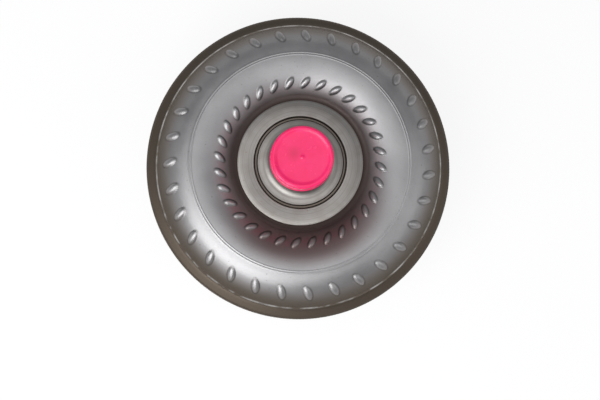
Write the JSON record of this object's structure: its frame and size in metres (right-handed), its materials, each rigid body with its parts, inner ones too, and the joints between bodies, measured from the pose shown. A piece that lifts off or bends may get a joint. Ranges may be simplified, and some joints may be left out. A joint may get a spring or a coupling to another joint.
{
  "type": "torque converter",
  "caption": "Welded automatic-gearbox torque converter with bladed impeller and turbine, one-way stator, lock-up clutch with spring damper, drive studs and a push-on hub cap.",
  "frame": {"origin": "on the axis, at the height of the drive studs' ends, which the part stands on", "axes": "+Z along the turning axis from the engine side to the gearbox hub; +X through drive stud 1"},
  "size_m": [0.28, 0.28, 0.149],
  "materials": {
    "shell_steel": "satin, oiled",
    "turned_steel": "fine turned",
    "weld_bead": "as welded",
    "sheet_steel": "pressed sheet",
    "plain_steel": "bare",
    "spring_steel": "drawn wire",
    "cast_aluminium": "as cast",
    "friction_lining": "matt",
    "bronze": "plain",
    "cap_plastic": "moulded"
  },
  "bodies": {
    "housing": {"impeller_shell": "shell_steel", "impeller_blades": "sheet_steel", "impeller_hub": "turned_steel", "hub_weld": "weld_bead", "front_cover": "shell_steel", "closure_weld": "weld_bead", "pilot_boss": "turned_steel", "drive_stud_1": "plain_steel", "drive_stud_2": "plain_steel", "drive_stud_3": "plain_steel", "drive_stud_4": "plain_steel", "balance_weight": "plain_steel", "cover_thrust_washer": "bronze", "rear_bearing_upper_race": "turned_steel"},
    "cap": {"shipping_cap": "cap_plastic"},
    "turbine": {"turbine_shell": "sheet_steel", "turbine_blades": "sheet_steel", "turbine_hub": "turned_steel", "turbine_rivet_1": "plain_steel", "turbine_rivet_2": "plain_steel", "turbine_rivet_3": "plain_steel", "turbine_rivet_4": "plain_steel", "turbine_rivet_5": "plain_steel", "turbine_rivet_6": "plain_steel", "damper_driven_plate": "plain_steel", "front_bearing_lower_race": "turned_steel"},
    "damper": {"front_spring_retainer": "plain_steel", "rear_spring_retainer": "plain_steel", "stop_pin_1": "plain_steel", "stop_pin_2": "plain_steel", "stop_pin_3": "plain_steel", "damper_spring_1": "spring_steel", "damper_spring_2": "spring_steel", "damper_spring_3": "spring_steel", "damper_spring_4": "spring_steel", "damper_spring_5": "spring_steel", "damper_spring_6": "spring_steel"},
    "piston": {"lockup_piston": "sheet_steel", "friction_lining": "friction_lining"},
    "inner_race": {"stator_inner_race": "turned_steel"},
    "stator": {"stator_wheel": "cast_aluminium", "clutch_cam_race": "turned_steel", "clutch_side_plate": "plain_steel", "stator_snap_ring": "spring_steel", "clutch_roller_1": "turned_steel", "clutch_roller_2": "turned_steel", "clutch_roller_3": "turned_steel", "clutch_roller_4": "turned_steel", "clutch_roller_5": "turned_steel", "clutch_roller_6": "turned_steel", "clutch_roller_7": "turned_steel", "clutch_roller_8": "turned_steel", "rear_bearing_lower_race": "turned_steel", "front_bearing_upper_race": "turned_steel"},
    "rear_needles": {"rear_bearing_needles": "plain_steel"},
    "front_needles": {"front_bearing_needles": "plain_steel"}
  },
  "joints": [
    {"name": "cap_pull", "type": "slide", "parent": "housing", "child": "cap", "axis": [0, 0, 1], "range_m": [0, 0.03]},
    {"name": "turbine_spin", "type": "hinge", "parent": "housing", "child": "turbine", "pos_m": [0, 0, 0.081], "axis": [0, 0, 1], "continuous": true},
    {"name": "damper_twist", "type": "hinge", "parent": "turbine", "child": "damper", "pos_m": [0, 0, 0.081], "axis": [0, 0, 1], "range_deg": [-6, 6], "stiffness_Nm_per_rad": 300, "deforming": ["damper_spring_1", "damper_spring_2", "damper_spring_3", "damper_spring_4", "damper_spring_5", "damper_spring_6"]},
    {"name": "piston_apply", "type": "slide", "parent": "damper", "child": "piston", "axis": [0, 0, -1], "range_m": [0, 0.001]},
    {"name": "inner_race_spin", "type": "hinge", "parent": "housing", "child": "inner_race", "pos_m": [0, 0, 0.081], "axis": [0, 0, 1], "continuous": true},
    {"name": "stator_freewheel", "type": "hinge", "parent": "inner_race", "child": "stator", "pos_m": [0, 0, 0.081], "axis": [0, 0, 1], "range_deg": [0, 360]},
    {"name": "rear_needle_roll", "type": "hinge", "parent": "housing", "child": "rear_needles", "pos_m": [0, 0, 0.081], "axis": [0, 0, 1], "continuous": true},
    {"name": "front_needle_roll", "type": "hinge", "parent": "housing", "child": "front_needles", "pos_m": [0, 0, 0.081], "axis": [0, 0, 1], "continuous": true}
  ],
  "couplings": [
    {"joint": "rear_needle_roll", "follows": "inner_race_spin", "ratio": 0.5},
    {"joint": "front_needle_roll", "follows": "turbine_spin", "ratio": 0.5}
  ]
}
